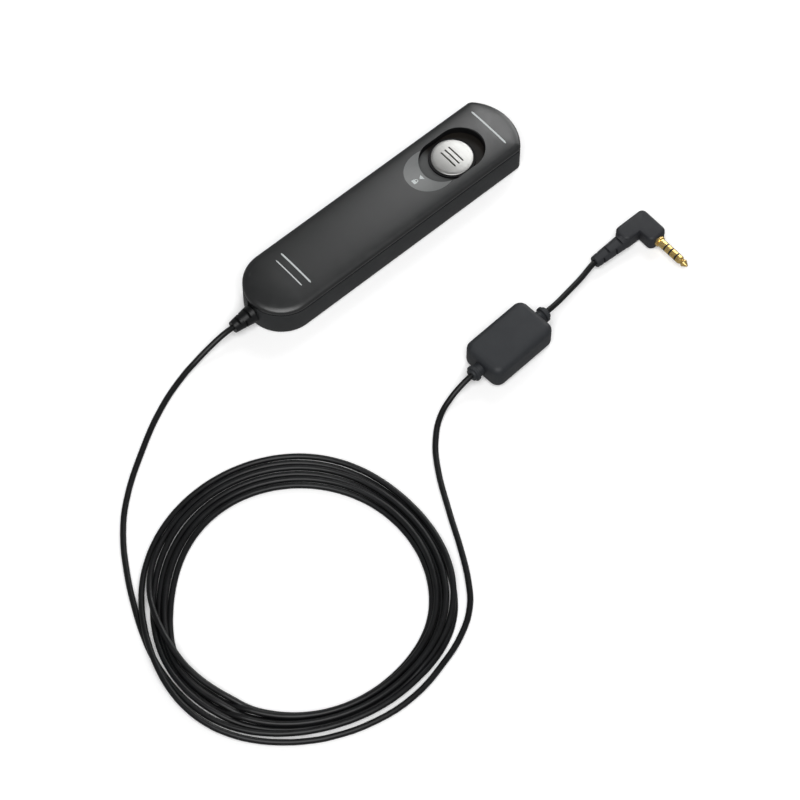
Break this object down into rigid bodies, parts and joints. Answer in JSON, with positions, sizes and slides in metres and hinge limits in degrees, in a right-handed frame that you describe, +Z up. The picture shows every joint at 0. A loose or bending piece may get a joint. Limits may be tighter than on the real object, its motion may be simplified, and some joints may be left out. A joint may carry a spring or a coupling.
{
  "type": "camera remote shutter release",
  "caption": "Wired camera remote: slim charcoal handle, press-and-slide silver button, thin coiled cord, ferrite block and right-angle 2.5 mm plug.",
  "frame": {"origin": "middle of the handle's footprint, on its flat back", "axes": "+X along the handle towards its button end, +Z up out of the button's face, +Y to the left of +X"},
  "size_m": [0.1989, 0.1304, 0.0114],
  "materials": {
    "shell_top": "satin charcoal, fine spark texture",
    "shell_bottom": "satin charcoal, fine spark texture",
    "black_plastic": "smooth moulded",
    "slider_plastic": "smooth moulded",
    "white_plastic": "smooth moulded",
    "cream_plastic": "smooth moulded",
    "silver_cap": "fine circular brushing",
    "steel": "plated",
    "black_steel": "black plated",
    "bronze": "rolled strip",
    "board_green": "solder mask",
    "resistor_black": "ceramic chip",
    "solder": "bright solder",
    "wire_red": "insulated",
    "wire_white": "insulated",
    "wire_yellow": "insulated",
    "wire_ground": "twisted bare copper",
    "cord_rubber": "smooth satin jacket",
    "ferrite": "sintered ceramic",
    "ferrite_cover": "satin moulded cover",
    "plug_black": "satin overmould",
    "insulator_black": "smooth moulded",
    "gold": "gold plated, polished"
  },
  "bodies": {
    "root": {"top_shell": "shell_top", "bottom_shell": "shell_bottom", "guide_plate": "black_plastic", "guide_screws": "steel", "housing_screws": "black_steel", "leaf_terminals": "bronze", "lower_contact": "bronze", "contact_block": "cream_plastic", "circuit_board": "board_green", "resistors": "resistor_black", "solder_joints": "solder", "wire_red": "wire_red", "wire_white": "wire_white", "wire_yellow": "wire_yellow", "wire_ground": "wire_ground", "cord_clamp": "steel", "clamp_screws": "steel", "strain_relief": "cord_rubber", "cord_stub": "cord_rubber", "cord_lead": "cord_rubber", "cord_coil": "cord_rubber", "cord_tail": "cord_rubber", "cord_plug_lead": "cord_rubber", "cord_in_ferrite": "cord_rubber", "ferrite_core": "ferrite", "ferrite_cover": "ferrite_cover", "plug_overmould": "plug_black", "plug_inner_block": "white_plastic", "plug_insulator": "insulator_black", "plug_sleeve": "gold", "plug_ring_rear": "gold", "plug_ring_front": "gold", "plug_tip": "gold"},
    "slider": {"lock_slider": "slider_plastic", "return_spring": "steel"},
    "button": {"button_cap": "silver_cap", "button_plunger": "black_plastic", "plunger_foot": "white_plastic"},
    "upper_blade": {"upper_leaf": "bronze"},
    "middle_blade": {"middle_leaf": "bronze"}
  },
  "joints": [
    {"name": "lock_slide", "type": "slide", "parent": "root", "child": "slider", "axis": [-1, 0, 0], "range_m": [0, 0.0035]},
    {"name": "button_press", "type": "slide", "parent": "slider", "child": "button", "axis": [0, 0, -1], "range_m": [0, 0.0012], "stiffness_N_per_m": 1200, "springref_m": -0.0008, "deforming": ["return_spring"]},
    {"name": "upper_leaf_bend", "type": "hinge", "parent": "root", "child": "upper_blade", "pos_m": [0.0103, 0, 0.0043], "axis": [0, 1, 0], "range_deg": [0, 4.4]},
    {"name": "middle_leaf_bend", "type": "hinge", "parent": "root", "child": "middle_blade", "pos_m": [0.0103, 0, 0.0035], "axis": [0, 1, 0], "range_deg": [0, 2.6]}
  ],
  "couplings": [
    {"joint": "upper_leaf_bend", "follows": "button_press", "rad_per_m": 62},
    {"joint": "middle_leaf_bend", "follows": "button_press", "rad_per_m": 35.2}
  ]
}
